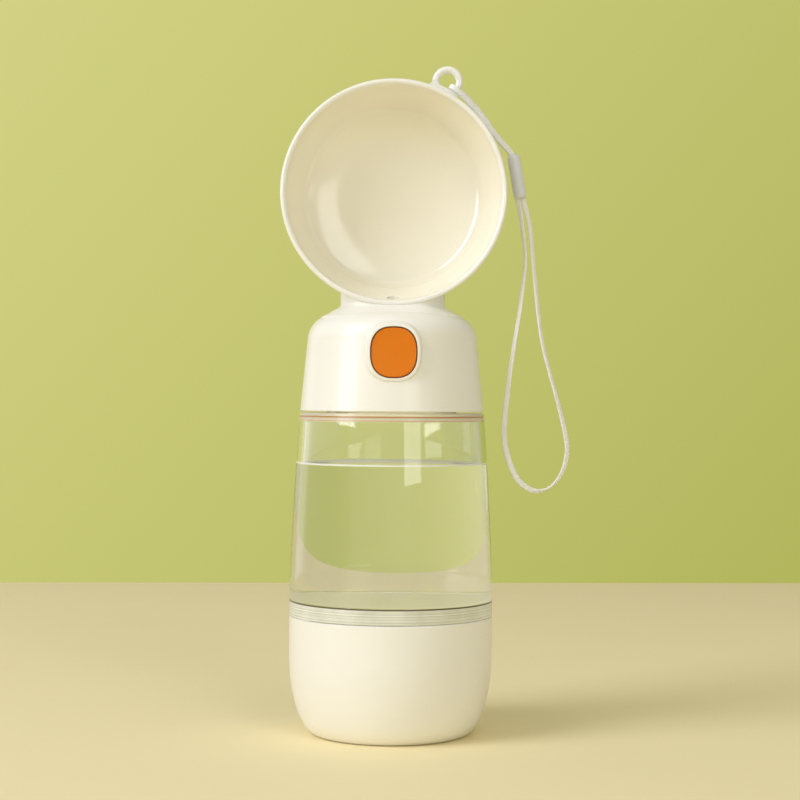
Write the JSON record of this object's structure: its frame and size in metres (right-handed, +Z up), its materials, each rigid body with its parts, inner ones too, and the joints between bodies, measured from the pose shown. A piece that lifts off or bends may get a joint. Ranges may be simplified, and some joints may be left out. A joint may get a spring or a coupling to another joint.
{
  "type": "dog travel water bottle",
  "caption": "Travel bottle for a dog: food cup below, clear bottle, and a press-button head that lets water run into an upright drinking bowl, with a lanyard.",
  "frame": {"origin": "centre of the food cup's foot, on the table", "axes": "+Z up along the bottle, the bowl and the button face -Y, the lanyard hangs on the +X side"},
  "size_m": [0.1079, 0.0758, 0.2485],
  "materials": {
    "cream_plastic": "satin",
    "clear_plastic": "gloss",
    "orange_plastic": "satin",
    "white_plastic": "satin",
    "silicone": "matte",
    "steel": "satin",
    "cord": "matte",
    "bead": "satin"
  },
  "bodies": {
    "cup": {"food_cup": "cream_plastic"},
    "cup_ring": {"cup_gasket": "silicone"},
    "bottle": {"water_bottle": "clear_plastic", "bottle_base": "clear_plastic"},
    "mouth_ring": {"mouth_gasket": "silicone"},
    "head": {"head_shell": "cream_plastic", "drinking_bowl": "cream_plastic", "valve_body": "white_plastic", "duct_seal": "silicone", "stem_seal": "silicone", "seal_retainer": "white_plastic", "chamber_cap": "white_plastic", "button_spring": "steel", "lanyard_cord": "cord", "lanyard_bead": "bead"},
    "button": {"button": "orange_plastic", "valve_stem": "steel", "valve_plug": "silicone"}
  },
  "joints": [
    {"name": "bottle_rise", "type": "slide", "parent": "cup", "child": "cup_ring", "axis": [0, 0, 1], "range_m": [0, 0.011]},
    {"name": "bottle_turn", "type": "hinge", "parent": "cup_ring", "child": "bottle", "pos_m": [0, 0, 0.044], "axis": [0, 0, 1], "range_deg": [0, 990]},
    {"name": "head_rise", "type": "slide", "parent": "bottle", "child": "mouth_ring", "axis": [0, 0, 1], "range_m": [0, 0.00875]},
    {"name": "head_turn", "type": "hinge", "parent": "mouth_ring", "child": "head", "pos_m": [0, 0, 0.1282], "axis": [0, 0, 1], "range_deg": [0, 900]},
    {"name": "button_press", "type": "slide", "parent": "head", "child": "button", "axis": [0, 1, 0], "range_m": [0, 0.0035], "stiffness_N_per_m": 600, "springref_m": -0.006, "deforming": ["button_spring"]}
  ],
  "couplings": [
    {"joint": "bottle_rise", "follows": "bottle_turn", "m_per_rad": 0.00063661},
    {"joint": "head_rise", "follows": "head_turn", "m_per_rad": 0.00055704}
  ]
}
